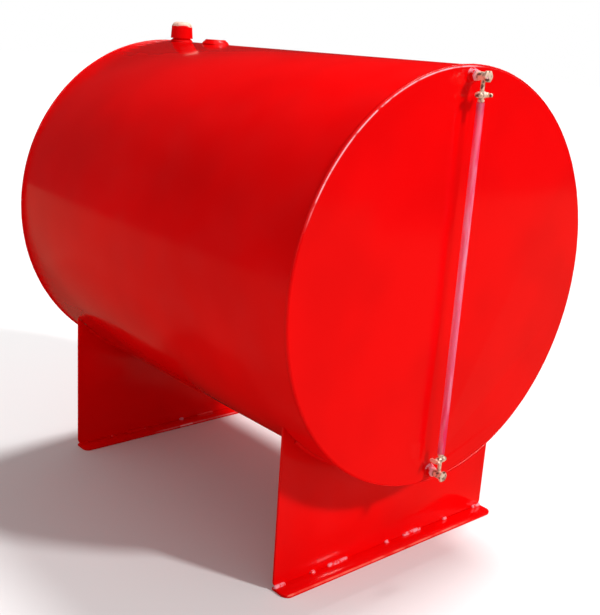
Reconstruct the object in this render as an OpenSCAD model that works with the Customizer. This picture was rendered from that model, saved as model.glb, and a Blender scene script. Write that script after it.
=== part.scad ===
// Cylindrical steel fuel tank lying on two saddle legs, each a plate on a flat bar. It has
// a capped filler, a plugged bung and a level gauge: a clear hose between two plug cocks.
// X runs across the tank, Y along it from the gauge end, and Z points up.
// The origin lies on the floor, under the middle of the whole outline.

/* [Tank] */
// Outside diameter of the rolled shell
shell_od = 800; // [760:10:900]
// Length over both end plates
tank_len = 990; // [800:10:1400]
// Thickness of the shell sheet
shell_t = 3; // [2:0.5:6]
// Thickness of the two end plates
end_t = 4; // [3:0.5:8]
// Width of the chamfer round the outer edge of the end plates
end_chamfer = 2; // [1:0.5:2.5]
// Height of the tank's underside above the floor
belly_h = 195; // [140:5:300]

/* [Weld beads] */
// Width of the beads that close the shell
seam_w = 7; // [5:0.5:9]
// How far those beads stand proud of the shell
seam_proud = 1.6; // [0.8:0.2:2.4]
// Angle of the shell's lengthwise seam above level, on the right
seam_angle = 20; // [0:5:40]
// Leg length of the fillet welds on the saddles
saddle_fillet = 5; // [3:0.5:8]
// Leg length of the fillet weld round the filler
filler_fillet = 6; // [3:0.5:6]
// Leg length of the fillet weld round the bung
bung_fillet = 8; // [3:0.5:9]
// Leg length of the fillet welds round the gauge bosses
boss_fillet = 3; // [1.5:0.5:4]

/* [Legs] */
// Width of the legs across the tank
leg_w = 614; // [400:2:700]
// Thickness of the leg plates
leg_t = 5; // [4:0.5:8]
// From each end of the tank to the near face of its leg
leg_setback = 101; // [80:1:200]
// Radius of the plates' two lower corners
leg_corner_r = 12; // [4:1:25]
// Thickness of the flat bar under each leg
foot_t = 6; // [4:0.5:10]
// How far that bar reaches in front of the leg's face
foot_reach = 38; // [30:1:70]
// Radius of the bar's two front corners
foot_corner_r = 16; // [5:1:20]
// Leg length of the short welds between a leg and its bar
stitch_leg = 6; // [3:0.5:8]
// Length of each long stitch
stitch_len = 55; // [30:5:80]
// Where the left long stitch lies, as a share of the way to the leg's left edge
long_left = 0.46; // [0.4:0.01:0.52]
// Where the right long stitch lies, as a share of the way to the leg's right edge
long_right = 0.25; // [0.22:0.01:0.4]
// Length of the two welds at the ends of the bar
end_stitch_len = 28; // [20:2:50]
// Length of the small tacks between the stitches
tack_len = 13; // [8:1:20]
// Where the left tack lies, as a share of the way to the leg's left edge
tack_left = 0.68; // [0.64:0.01:0.74]
// Where the right tack lies, as a share of the way to the leg's right edge
tack_right = 0.6; // [0.54:0.01:0.7]

/* [Filler] */
// From the rear end of the tank to the filler's axis
filler_setback = 56; // [45:1:120]
// Outside diameter of the filler pipe
pipe_od = 42.4; // [33:0.1:48]
// Wall of the filler pipe
pipe_t = 3.2; // [2:0.2:5]
// Wall of the cap at its open end
cap_wall = 5.8; // [3:0.1:8]
// How much narrower the cap is at its shoulder
cap_taper = 4; // [1:0.5:6]
// Height of the cap
cap_h = 39; // [38:1:60]
// Radius of the cap's shoulder
cap_shoulder_r = 13; // [3:0.5:14]
// Depth of the cap's threaded mouth
cap_depth = 24; // [15:1:26]
// Gap between the shell's crown and the cap
cap_gap = 7; // [6.5:0.5:12]

/* [Bung] */
// From the rear end of the tank to the bung's axis
bung_setback = 200; // [150:5:400]
// Outside diameter of the bung's socket
bung_od = 48; // [42:1:60]
// Height of the socket above the shell's crown
bung_h = 10; // [9:1:25]
// Diameter of the bung's plug
bung_plug_d = 33.2; // [26:0.1:38]
// Width across the flats of the plug's square recess
bung_key_w = 14; // [8:0.5:16]

/* [Gauge cocks] */
// From the middle of the tank to the gauge, towards the left
gauge_left = 8; // [0:1:60]
// From the outside of the shell down to the axis of the upper cock's nipple
upper_inset = 17.5; // [15:0.5:60]
// From the outside of the shell up to the axis of the lower cock's nipple
lower_inset = 22; // [15:0.5:60]
// From the end plate to the axis of the hose
standoff = 25; // [24:0.5:32]
// Outside diameter of the welded boss
boss_d = 22; // [20:0.5:26]
// Height of the boss
boss_h = 8; // [4:0.5:9]
// Diameter of the nipple's thread in the boss
boss_thread_d = 13.2; // [10:0.1:14]
// Across-flats size of the nipple's collar
collar_af = 17; // [14.5:0.5:19]
// Thickness of the nipple's collar
collar_h = 5; // [3:0.5:5]
// Outside diameter of the cock's barrel
barrel_d = 15; // [13:0.5:17]
// How far the barrel reaches in front of the hose's axis
barrel_nose = 6; // [5:0.5:9]
// Diameter of the barrel's bore
barrel_bore = 10; // [7:0.1:10.5]
// Across-flats size of the end plug
plug_af = 19; // [16:0.5:21]
// Thickness of the end plug's head
plug_h = 5; // [4:0.5:8]
// Gap between the barrel and the end plug's head
plug_gap = 1.5; // [1:0.5:4]
// Diameter of the cock's neck
neck_d = 7.5; // [6:0.5:9]
// Diameter of the drilled flow passage
passage_d = 3.6; // [2:0.1:4]

/* [Keys] */
// From the nipple's axis to the key's axis
key_drop = 32; // [31:0.5:38]
// Diameter of the housing round the key
key_house_d = 12; // [10:0.5:13]
// Length of that housing across the cock
key_house_w = 16; // [14:0.5:20]
// Diameter of the key's bore
key_bore_d = 6; // [4.5:0.1:7]
// Radial clearance of the key in its bore
key_clear = 0.05; // [0.02:0.01:0.1]
// Gap between the housing and what turns beside it
side_gap = 0.15; // [0.1:0.05:0.4]
// Length of the key's wing
wing_len = 23; // [16:0.5:25]
// Width of the key's wing
wing_w = 7; // [6:0.5:9]
// Thickness of the key's wing
wing_t = 4; // [2.5:0.5:5]
// Gap between the housing and the wing
wing_gap = 5; // [5:0.5:8]
// Across-flats size of the key's nut
nut_af = 9; // [8.5:0.5:11]
// Thickness of the key's nut
nut_h = 4; // [3:0.5:6]

/* [Sight hose] */
// Outside diameter of the clear hose
hose_od = 14; // [13:0.5:15]
// Inside diameter of the clear hose
hose_id = 10; // [8:0.1:10.5]
// From the nipple's axis to the end of the hose
hose_drop = 45.5; // [45:0.5:54]
// How far the hose is pushed over each tail
hose_grip = 14; // [10:1:20]
// Across-flats size of the tail's collar
tail_af = 11; // [10:0.5:12]
// Thickness of the tail's collar
tail_h = 4; // [3:0.5:5]

/* [Hidden] */
$fn = 96;
tank_fn = 360;
paint = "#e00808";
paint_shade = "#b80808";
worn_metal = "#e8c8b0";
brass = "#d9b48c";
clear_pink = "#f06090";

shell_r = shell_od / 2;
axis_h = belly_h + shell_r;
upper_r = shell_r - upper_inset;
lower_r = shell_r - lower_inset;
barrel_o = boss_h + collar_h;
barrel_len = standoff + barrel_nose - barrel_o;
plug_o = barrel_o + barrel_len + plug_gap;
gauge_reach = max(plug_o + plug_h, standoff + wing_len / 2);
front_y = (gauge_reach - tank_len) / 2;
rear_y = front_y + tank_len;
shell_len = tank_len - 2 * end_t;
front_leg_y = front_y + leg_setback;
rear_leg_y = rear_y - leg_setback - leg_t;
filler_y = rear_y - filler_setback;
bung_y = rear_y - bung_setback;
cap_od = pipe_od + 2 * cap_wall;
cap_top = cap_gap + cap_h;
pipe_top = cap_gap + cap_depth;
inside_reach = 6;
cap_clear = 0.1;
key_r = key_bore_d / 2 - key_clear;
key_step_d = key_house_d - 3;
washer_t = 1;
tail_o = key_drop + key_house_d / 2 + 2;
hose_low = lower_r - hose_drop;
hose_len = upper_r - hose_drop + hose_low;
eps = 1;

// ---- Places ----

// Stands children on the tank's axis at y, their Z along the tank to the rear
module on_axis(y) translate([0, y, axis_h]) rotate([-90, 0, 0]) children();

// Stands children on the shell's crown at y
module on_crown(y) translate([0, y, axis_h + shell_r]) children();

// Places a cock's pieces on the front end, where their hose side points down
module upper() translate([-gauge_left, front_y, axis_h + upper_r]) children();

// Turns the same cock half round on its nipple's axis, so its hose side points up
module lower() translate([-gauge_left, front_y, axis_h - lower_r]) rotate([0, 180, 0]) children();

// Turns children's Z away from the end plate, starting o in front of it
module outward(o) translate([0, -o, 0]) rotate([90, 0, 0]) children();

// Turns children's Z towards the hose, starting t from the nipple's axis
module hoseward(t) translate([0, -standoff, -t]) rotate([180, 0, 0]) children();

// Turns children's Z across the cock, on the key's axis
module across() translate([0, -standoff, -key_drop]) rotate([0, 90, 0]) children();

// ---- Shared forms ----

// A hexagonal head with its top corners turned off
module hex_head(af, h) intersection() {
    cylinder(d = af / cos(30), h = h, $fn = 6);
    cylinder(d1 = af / cos(30) + 4 * h, d2 = af * 0.98, h = h * 1.001);
}

// The space that the shell takes up, for cutting what sits on it
module shell_space() on_axis(front_y) cylinder(d = shell_od, h = tank_len, $fn = tank_fn);

// A straight fillet weld round a vertical pipe of diameter d, from Z = 0 up
module pipe_fillet(d, leg, root) rotate_extrude()
    polygon([[d / 2, -root], [d / 2 + leg, -root], [d / 2 + leg, 0], [d / 2, leg]]);

// ---- Tank ----

module shell() color(paint) difference() {
    on_axis(front_y + end_t) cylinder(d = shell_od, h = shell_len, $fn = tank_fn);
    on_axis(front_y) cylinder(d = shell_od - 2 * shell_t, h = tank_len, $fn = tank_fn);
    on_crown(filler_y) cylinder(d = pipe_od, h = shell_r / 2, center = true);
    on_crown(bung_y) cylinder(d = bung_od, h = shell_r / 2, center = true);
}

// An end plate that lies on Z = 0, its outer edge at the top chamfered
module end_plate() {
    flat = end_t - end_chamfer;
    cylinder(d = shell_od, h = flat, $fn = tank_fn);
    translate([0, 0, flat])
        cylinder(d1 = shell_od, d2 = shell_od - 2 * end_chamfer, h = end_chamfer, $fn = tank_fn);
}

module front_end() color(paint) difference() {
    on_axis(front_y + end_t) mirror([0, 0, 1]) end_plate();
    upper() outward(0) cylinder(d = boss_thread_d, h = 4 * end_t, center = true);
    lower() outward(0) cylinder(d = boss_thread_d, h = 4 * end_t, center = true);
}

module rear_end() color(paint) on_axis(rear_y - end_t) end_plate();

// The section of a low bead on the outside of the shell, half an oval in six facets
module bead_section() polygon([for (a = [0 : 30 : 180])
    [shell_r + seam_proud * sin(a), -seam_w / 2 * cos(a)]]);

// The bead round the tank where the shell meets an end plate at y
module seam_bead(y) color(paint_shade) on_axis(y) rotate_extrude($fn = tank_fn) bead_section();

// The bead along the shell, between the two round ones
module shell_seam_weld() color(paint_shade) {
    start = end_t + seam_w / 2;
    on_axis(front_y + start) rotate([0, 0, -seam_angle])
        linear_extrude(tank_len - 2 * start) bead_section();
}

// ---- Legs ----

// A strip as wide as a leg from Y = 0 to depth, its corners at Y = 0 rounded
module rounded_strip(depth, corner_r) {
    flat_w = leg_w - 2 * corner_r;
    translate([-leg_w / 2, corner_r]) square([leg_w, depth - corner_r]);
    translate([-flat_w / 2, 0]) square([flat_w, depth]);
    for (side = [-1, 1]) translate([side * flat_w / 2, corner_r]) circle(corner_r);
}

// One leg: a plate that stands on its bar, cut out above to seat the shell
module leg(y) color(paint) difference() {
    translate([0, y + leg_t, foot_t]) rotate([90, 0, 0])
        linear_extrude(leg_t) rounded_strip(axis_h - foot_t, leg_corner_r);
    shell_space();
}

// The flat bar under a leg, with its two front corners rounded
module foot(y) color(paint) translate([0, y - foot_reach, 0])
    linear_extrude(foot_t) rounded_strip(foot_reach + leg_t, foot_corner_r);

// A straight fillet of one length at x, in the corner between a leg and its bar
module stitch(x, length) translate([x, 0, 0]) rotate([90, 0, 90])
    linear_extrude(length, center = true)
        polygon([[0, 0], [-stitch_leg, 0], [0, stitch_leg]]);

// All the short welds along one leg: two at the ends, two long ones and three tacks
module foot_welds(y) color(paint_shade) translate([0, y, foot_t]) {
    half_w = leg_w / 2;
    for (side = [-1, 1]) stitch(side * (half_w - end_stitch_len / 2), end_stitch_len);
    for (share = [-long_left, long_right]) stitch(share * half_w, stitch_len);
    for (share = [-tack_left, 0, tack_right]) stitch(share * half_w, tack_len);
}

// The fillet between the shell and a leg's face at y, in front of it (-1) or behind it (1)
module leg_weld(y, side) color(paint_shade) intersection() {
    on_axis(y) rotate_extrude($fn = tank_fn)
        polygon([[shell_r, 0], [shell_r + saddle_fillet, 0], [shell_r, side * saddle_fillet]]);
    translate([-leg_w / 2, y - saddle_fillet - eps, 0])
        cube([leg_w, 2 * (saddle_fillet + eps), axis_h]);
}

// ---- Filler ----

module filler_pipe() color(paint) on_crown(filler_y) difference() {
    translate([0, 0, -shell_t - inside_reach]) cylinder(d = pipe_od, h = pipe_top + shell_t + inside_reach);
    cylinder(d = pipe_od - 2 * pipe_t, h = shell_r, center = true);
}

module filler_weld() color(paint_shade) difference() {
    on_crown(filler_y) pipe_fillet(pipe_od, filler_fillet, 2 * shell_t);
    shell_space();
}

module filler_cap() color(paint) on_crown(filler_y) difference() {
    shoulder_r = cap_od / 2 - cap_taper / 2;
    rotate_extrude() {
        polygon([[0, cap_gap], [cap_od / 2, cap_gap], [shoulder_r, cap_top - cap_shoulder_r],
            [shoulder_r - cap_shoulder_r, cap_top], [0, cap_top]]);
        translate([shoulder_r - cap_shoulder_r, cap_top - cap_shoulder_r]) intersection() {
            circle(r = cap_shoulder_r);
            square(cap_shoulder_r);
        }
    }
    translate([0, 0, cap_gap - eps]) cylinder(d = pipe_od + 2 * cap_clear, h = cap_depth + eps);
}

// ---- Bung ----

module bung_socket() color(paint) on_crown(bung_y) difference() {
    translate([0, 0, -shell_t - inside_reach]) cylinder(d = bung_od, h = bung_h + shell_t + inside_reach);
    cylinder(d = bung_plug_d, h = shell_r, center = true);
}

module bung_weld() color(paint_shade) difference() {
    on_crown(bung_y) pipe_fillet(bung_od, bung_fillet, 2 * shell_t);
    shell_space();
}

module bung_plug() color(paint) on_crown(bung_y) {
    recess = 3;
    difference() {
        cylinder(d = bung_plug_d, h = bung_h);
        translate([-bung_key_w / 2, -bung_key_w / 2, bung_h - recess])
            cube([bung_key_w, bung_key_w, recess + eps]);
    }
}

// ---- Gauge cock ----

module boss() color(paint) outward(0) difference() {
    cylinder(d = boss_d, h = boss_h);
    cylinder(d = boss_thread_d, h = 4 * boss_h, center = true);
}

module boss_weld() color(paint_shade) outward(0) pipe_fillet(boss_d, boss_fillet, 0);

module nipple() color(brass) difference() {
    union() {
        outward(-end_t - inside_reach) cylinder(d = boss_thread_d, h = barrel_o + end_t + inside_reach);
        outward(boss_h) hex_head(collar_af, collar_h);
        outward(barrel_o) cylinder(d = barrel_bore, h = barrel_len / 4);
    }
    outward(-end_t - inside_reach - eps)
        cylinder(d = barrel_bore - 4, h = gauge_reach + end_t);
}

module cock() color(brass) difference() {
    union() {
        outward(barrel_o) cylinder(d = barrel_d, h = barrel_len);
        hoseward(0) cylinder(d = neck_d, h = key_drop);
        across() cylinder(d = key_house_d, h = key_house_w, center = true);
        hoseward(key_drop) cylinder(d = neck_d + 1.5, h = tail_o - key_drop);
    }
    outward(barrel_o - eps) cylinder(d = barrel_bore, h = barrel_len + 2 * eps);
    across() cylinder(d = key_bore_d, h = key_house_w + 2 * eps, center = true);
    hoseward(0) cylinder(d = passage_d, h = tail_o + eps);
}

module plug() color(brass) {
    shank = barrel_len / 4 + plug_gap;
    outward(plug_o - shank) cylinder(d = barrel_bore, h = shank);
    outward(plug_o) hex_head(plug_af, plug_h);
}

// The turning key: a stem through the housing, a step, and a wing to turn it by
module key() color(brass) {
    stem_start = -key_house_w / 2 - side_gap - washer_t - nut_h - 0.5;
    step_start = key_house_w / 2 + side_gap;
    wing_start = key_house_w / 2 + wing_gap;
    across() difference() {
        union() {
            translate([0, 0, stem_start]) cylinder(r = key_r, h = wing_start - stem_start);
            translate([0, 0, step_start]) cylinder(d = key_step_d, h = wing_start - step_start);
            translate([0, 0, wing_start]) linear_extrude(wing_t) {
                square([wing_w, wing_len - wing_w], center = true);
                for (end = [-1, 1]) translate([0, end * (wing_len - wing_w) / 2])
                    circle(d = wing_w);
                circle(d = key_step_d);
            }
        }
        rotate([90, 0, 0]) cylinder(d = passage_d, h = key_house_d, center = true);
    }
}

module key_nut() color(brass) across() difference() {
    start = key_house_w / 2 + side_gap;
    mirror([0, 0, 1]) {
        translate([0, 0, start]) cylinder(d = nut_af / cos(30), h = washer_t);
        translate([0, 0, start + washer_t]) hex_head(nut_af, nut_h);
    }
    cylinder(r = key_r, h = 4 * key_house_w, center = true);
}

// The hose tail: a collar on the cock and a barbed spigot inside the hose
module hose_tail() color(brass) hoseward(tail_o) difference() {
    root_r = hose_id / 2 - 0.8;
    grip_start = hose_drop - tail_o;
    tip = grip_start + hose_grip;
    union() {
        hex_head(tail_af, tail_h);
        cylinder(r = root_r, h = tip);
        for (barb = [1, 2]) translate([0, 0, grip_start + barb * hose_grip / 2 - 4]) {
            cylinder(r = hose_id / 2, h = 1);
            translate([0, 0, 1]) cylinder(r1 = hose_id / 2, r2 = root_r, h = 3);
        }
    }
    translate([0, 0, -eps]) cylinder(d = passage_d, h = tip + 2 * eps);
}

module sight_hose() color(clear_pink)
    translate([-gauge_left, front_y - standoff, axis_h - hose_low])
    difference() {
        cylinder(d = hose_od, h = hose_len);
        translate([0, 0, -eps]) cylinder(d = hose_id, h = hose_len + 2 * eps);
    }

shell();
front_end();
rear_end();
seam_bead(front_y + end_t);  // front_seam_weld
seam_bead(rear_y - end_t);  // rear_seam_weld
shell_seam_weld();
leg(front_leg_y);  // front_leg
leg(rear_leg_y);  // rear_leg
leg_weld(front_leg_y, -1);  // front_leg_front_weld
leg_weld(front_leg_y + leg_t, 1);  // front_leg_back_weld
leg_weld(rear_leg_y, -1);  // rear_leg_front_weld
leg_weld(rear_leg_y + leg_t, 1);  // rear_leg_back_weld
foot(front_leg_y);  // front_foot
foot(rear_leg_y);  // rear_foot
foot_welds(front_leg_y);  // front_foot_welds
foot_welds(rear_leg_y);  // rear_foot_welds
filler_pipe();
filler_weld();
filler_cap();
bung_socket();
bung_weld();
bung_plug();
upper() boss();  // upper_boss
upper() boss_weld();  // upper_boss_weld
upper() nipple();  // upper_nipple
upper() cock();  // upper_cock
upper() plug();  // upper_plug
upper() key();  // upper_key
upper() key_nut();  // upper_key_nut
upper() hose_tail();  // upper_hose_tail
lower() boss();  // lower_boss
lower() boss_weld();  // lower_boss_weld
lower() nipple();  // lower_nipple
lower() cock();  // lower_cock
lower() plug();  // lower_plug
lower() key();  // lower_key
lower() key_nut();  // lower_key_nut
lower() hose_tail();  // lower_hose_tail
sight_hose();
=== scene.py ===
"""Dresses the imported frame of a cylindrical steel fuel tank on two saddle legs.

The steel is sprayed all over with glossy red enamel, weld beads included. The gauge is a
clear hose between two brass plug cocks. X runs across the tank, Y along it from the gauge
end, and Z points up. Lengths are in metres.
"""

import logging
import math
import random
from collections.abc import Callable, Iterator
from contextlib import contextmanager
from dataclasses import dataclass, replace
from enum import Enum

import bmesh
import bpy
from mathutils import Matrix, Vector


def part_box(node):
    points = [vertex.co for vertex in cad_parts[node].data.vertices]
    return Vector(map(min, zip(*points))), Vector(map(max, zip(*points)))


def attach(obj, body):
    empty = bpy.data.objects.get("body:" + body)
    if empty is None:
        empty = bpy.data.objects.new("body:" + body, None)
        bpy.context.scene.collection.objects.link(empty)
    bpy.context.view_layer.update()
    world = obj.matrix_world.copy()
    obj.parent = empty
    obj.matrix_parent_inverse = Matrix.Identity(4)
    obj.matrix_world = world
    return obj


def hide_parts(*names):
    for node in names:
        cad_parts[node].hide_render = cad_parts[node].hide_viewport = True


logging.basicConfig(level=logging.INFO, format="%(levelname)s %(message)s")
log = logging.getLogger("fuel_tank")

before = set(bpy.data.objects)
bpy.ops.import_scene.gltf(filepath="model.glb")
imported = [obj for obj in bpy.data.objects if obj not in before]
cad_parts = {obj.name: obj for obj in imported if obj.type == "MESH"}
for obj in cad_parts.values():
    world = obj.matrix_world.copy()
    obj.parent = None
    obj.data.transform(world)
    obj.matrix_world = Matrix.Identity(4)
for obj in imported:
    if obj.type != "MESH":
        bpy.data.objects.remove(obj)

MM = 0.001
FULL_TURN = 2 * math.pi
ALONG = Vector((0, 1, 0))
UP = Vector((0, 0, 1))
AXIS_HEIGHT = 595 * MM
MERGE_DISTANCE = 1e-6
# How far past a face a vertex on it may lie.
TOUCH = 1e-5
FLAT_ANGLE = math.radians(0.2)
SHARP_ANGLE = math.radians(28)
SMOOTH_ANGLE = math.radians(32)
BEAD_SMOOTH_ANGLE = math.radians(60)
# The least of a face's normal along a way, for it to face that way.
FACING = 0.9
# The rings of vertices in each ripple of a bead. One of them is raised.
RINGS = 3
WHITE = (1.0, 1.0, 1.0, 1.0)

Material = bpy.types.Material
Node = bpy.types.Node
Piece = bpy.types.Object
Socket = bpy.types.NodeSocket
Tree = bpy.types.NodeTree


class Slot(Enum):
    """The record's material slots."""

    TANK = "tank_paint"
    WELD = "weld_paint"
    LEG = "leg_paint"
    CAP = "cap_paint"
    GAUGE = "gauge_brass"
    HOSE = "clear_hose"


class Body(Enum):
    """The bodies that pieces ride on."""

    TANK = "tank"
    UPPER_KEY = "upper_key"
    LOWER_KEY = "lower_key"


# ---- Modelling by hand ----


def activate(piece: Piece) -> None:
    """Leaves edit mode and makes piece the only selected object, and the active one.

    Args:
        piece: The object to work on.
    """
    if bpy.context.object is not None and bpy.context.object.mode != "OBJECT":
        bpy.ops.object.mode_set(mode="OBJECT")
    bpy.ops.object.select_all(action="DESELECT")
    piece.select_set(True)
    bpy.context.view_layer.objects.active = piece


@contextmanager
def editing(piece: Piece, mode: str = "VERT", start: str = "DESELECT") -> Iterator[None]:
    """Opens piece in edit mode, and closes it again.

    Args:
        piece: The object to work on.
        mode: What is selected: VERT, EDGE or FACE.
        start: SELECT to begin with all of it selected, DESELECT with none.
    """
    activate(piece)
    bpy.ops.object.mode_set(mode="EDIT")
    bpy.ops.mesh.select_mode(type=mode)
    bpy.ops.mesh.select_all(action=start)
    yield
    bpy.ops.object.mode_set(mode="OBJECT")


def pick(piece: Piece, test: Callable[[Vector, Vector], bool], parts: str = "verts") -> None:
    """Selects the vertices or faces of a piece in edit mode that pass a test, and no others.

    Args:
        piece: The object in edit mode.
        test: Says whether a part is wanted, by its place or middle and its normal.
        parts: What is tested: verts or faces.
    """
    mesh = bmesh.from_edit_mesh(piece.data)
    bpy.ops.mesh.select_all(action="DESELECT")
    for part in getattr(mesh, parts):
        middle = part.co if parts == "verts" else part.calc_center_median()
        if test(middle, part.normal):
            part.select = True
    mesh.select_flush_mode()
    bmesh.update_edit_mesh(piece.data)


def close_and_face_out(piece: Piece, open_ends: bool = False) -> None:
    """Closes a piece, merges its doubled vertices and turns its faces outwards.

    Args:
        piece: The object to close.
        open_ends: Whether its ends are still open.
    """
    if open_ends:
        with editing(piece, "EDGE"):
            bpy.ops.mesh.select_non_manifold()
            bpy.ops.mesh.edge_face_add()
    with editing(piece, start="SELECT"):
        bpy.ops.mesh.remove_doubles(threshold=MERGE_DISTANCE)
        bpy.ops.mesh.normals_make_consistent(inside=False)


def finish_with(piece: Piece, kind: str, **settings: object) -> None:
    """Adds a modifier to a piece and applies it.

    Args:
        piece: The object to change.
        kind: The modifier's type.
        settings: The modifier's own settings.
    """
    activate(piece)
    modifier = piece.modifiers.new(kind.title(), kind)
    for name, value in settings.items():
        setattr(modifier, name, value)
    bpy.ops.object.modifier_apply(modifier=modifier.name)


def smooth(piece: Piece, angle: float = SMOOTH_ANGLE) -> None:
    """Shades a piece smooth, apart from edges sharper than angle."""
    activate(piece)
    bpy.ops.object.shade_smooth_by_angle(angle=angle)


def primitive(name: str, kind: str, **settings: object) -> Piece:
    """Adds a primitive, with its place and turn in its mesh.

    Args:
        name: The new piece's name.
        kind: The primitive: circle, cylinder or plane.
        settings: The operator's own settings.

    Returns:
        The new piece.
    """
    getattr(bpy.ops.mesh, f"primitive_{kind}_add")(**settings)
    piece = bpy.context.object
    piece.name = name
    activate(piece)
    bpy.ops.object.transform_apply(location=True, rotation=True, scale=True)
    return piece


def copy_of_node(node: str, edge: float, segments: int = 2) -> Piece:
    """Copies a CAD node, joins its loose triangles and rounds its sharp edges.

    Args:
        node: The CAD node's name.
        edge: Width of the rounded edges.
        segments: Steps in each rounded edge.

    Returns:
        The new piece, with no body or material yet.
    """
    piece = bpy.data.objects.new(f"{node}_finished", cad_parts[node].data.copy())
    bpy.context.scene.collection.objects.link(piece)
    piece.data.materials.clear()
    with editing(piece, start="SELECT"):
        if piece.data.has_custom_normals:
            bpy.ops.mesh.customdata_custom_splitnormals_clear()
        bpy.ops.mesh.remove_doubles(threshold=MERGE_DISTANCE)
        bpy.ops.mesh.dissolve_limited(angle_limit=FLAT_ANGLE)
    finish_with(
        piece, "BEVEL", width=edge, segments=segments, limit_method="ANGLE",
        angle_limit=SHARP_ANGLE, use_clamp_overlap=True, miter_outer="MITER_ARC",
    )
    smooth(piece)
    return piece


def same_again(piece: Piece, name: str, place: Matrix) -> Piece:
    """Copies a piece with a mesh of its own.

    Args:
        piece: The finished piece.
        name: The copy's name.
        place: Where the copy goes, as a move or a turn of the first one.

    Returns:
        The copy.
    """
    copy = piece.copy()
    copy.data = piece.data.copy()
    copy.name = name
    copy.data.transform(place)
    bpy.context.scene.collection.objects.link(copy)
    return copy


# ---- Finishes ----

# A Map Range node's inputs 0 to 4 are the value, the two ends of its own range and the
# two ends of the result. A Mix node's colours are its inputs 6 and 7 and its output 2.
USUAL_SETTINGS = {
    "MapRange": {"interpolation_type": "SMOOTHSTEP"}, "Mix": {"data_type": "RGBA"},
}


def from_hex(code: str) -> tuple[float, float, float, float]:
    """Turns an sRGB hex colour into linear RGBA.

    Args:
        code: The colour, as # and six hex digits.

    Returns:
        The linear colour.
    """
    parts = [int(code[i : i + 2], 16) / 255 for i in (1, 3, 5)]
    linear = [p / 12.92 if p <= 0.04045 else ((p + 0.055) / 1.055) ** 2.4 for p in parts]
    return (*linear, 1.0)


def feed(tree: Tree, node: Node, inputs: dict[str | int, object]) -> None:
    """Fills inputs of a node.

    Args:
        tree: The node tree.
        node: The node.
        inputs: For each input, a value, or the output socket that feeds it.
    """
    for key, value in inputs.items():
        if isinstance(value, Socket):
            tree.links.new(value, node.inputs[key])
        else:
            node.inputs[key].default_value = value


def add_node(
    tree: Tree, kind: str, inputs: dict[str | int, object] | None = None,
    out: str | int = 0, **settings: object,
) -> Socket:
    """Adds one node with its settings, its values and what feeds it.

    Args:
        tree: The node tree.
        kind: The node's type, without ShaderNode before it.
        inputs: For each input, a value, or the output socket that feeds it.
        out: The output that is wanted.
        settings: The node's own settings, besides its kind's usual ones.

    Returns:
        The wanted output.
    """
    node = tree.nodes.new(f"ShaderNode{kind}")
    for name, value in (USUAL_SETTINGS.get(kind, {}) | settings).items():
        setattr(node, name, value)
    feed(tree, node, inputs or {})
    return node.outputs[out]


def start_material(name: str) -> tuple[Material, Tree, Node, Socket]:
    """Starts a material with its Principled shader and the object's own coordinates.

    Args:
        name: The finish's name.

    Returns:
        The material, its node tree, its shader and the object coordinates, in metres.
    """
    material = bpy.data.materials.new(name)
    material.use_nodes = True
    tree = material.node_tree
    tree.nodes.clear()
    surface = add_node(tree, "BsdfPrincipled", out="BSDF")
    output = tree.nodes.new("ShaderNodeOutputMaterial")
    feed(tree, output, {"Surface": surface})
    return material, tree, surface.node, add_node(tree, "TexCoord", out="Object")


@dataclass(frozen=True)
class Patches:
    """Soft patches of a real size: a noise, and the levels between which they come up."""

    size: float
    none_at: float
    full_at: float
    detail: float = 2.0
    least: float = 0.0
    most: float = 1.0

    def add(self, tree: Tree, place: Socket) -> Socket:
        """Adds the patches to a material.

        Args:
            tree: The node tree.
            place: The coordinates, in metres.

        Returns:
            How strong the patches are, from least to most.
        """
        look = {"Vector": place, "Scale": 1 / self.size, "Detail": self.detail}
        ends = {1: self.none_at, 2: self.full_at, 3: self.least, 4: self.most}
        return add_node(tree, "MapRange", {0: add_node(tree, "TexNoise", look)} | ends)


@dataclass(frozen=True)
class Relief:
    """Unevenness of a real size and depth: a noise that bumps the surface."""

    size: float
    depth: float
    detail: float = 1.0

    def add(self, tree: Tree, place: Socket, below: Socket | None = None) -> Socket:
        """Adds the relief to a material.

        Args:
            tree: The node tree.
            place: The coordinates, in metres.
            below: The normal of the relief that it lies on, if any.

        Returns:
            The normal.
        """
        look = {"Vector": place, "Scale": 1 / self.size, "Detail": self.detail}
        bump = {
            "Height": add_node(tree, "TexNoise", look), "Distance": self.depth, "Strength": 1.0
        }
        return add_node(tree, "Bump", bump if below is None else bump | {"Normal": below})


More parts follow.
